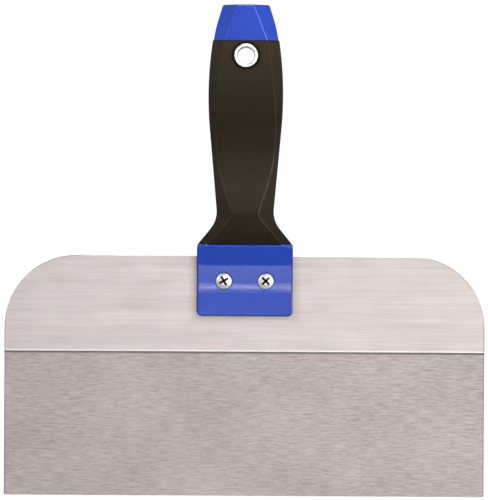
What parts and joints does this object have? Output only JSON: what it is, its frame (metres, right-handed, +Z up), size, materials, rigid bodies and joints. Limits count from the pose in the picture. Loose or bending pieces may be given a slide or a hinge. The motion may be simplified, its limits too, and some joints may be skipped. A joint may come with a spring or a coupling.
{
  "type": "drywall taping knife",
  "caption": "Wide flexible steel blade spot-welded to a stiff backing plate, held by a waisted soft-grip handle with a hang hole, for spreading joint compound.",
  "frame": {"origin": "centre of the hang hole, half way through the handle's depth and in the middle of the backing plate's thickness", "axes": "+X to the right along the working edge, +Y to the back (the cross-recess screw heads face -Y), +Z up the handle, away from the working edge"},
  "size_m": [0.254, 0.0282, 0.2599],
  "materials": {
    "blade_steel": "wavy cross-rolled brushing, satin",
    "plate_steel": "fine straight brushing, satin",
    "blue_plastic": "semi-gloss moulded polypropylene",
    "black_grip": "soft-touch matte with fine texture",
    "bright_plating": "bright nickel plate"
  },
  "bodies": {
    "root": {"blade": "blade_steel", "backing_plate": "plate_steel", "handle_core": "blue_plastic", "grip_sleeve": "black_grip", "hang_eyelet": "bright_plating", "eyelet_ring": "bright_plating", "screw_left": "bright_plating", "screw_right": "bright_plating", "barrel_nut_left": "bright_plating", "barrel_nut_right": "bright_plating"}
  },
  "joints": []
}
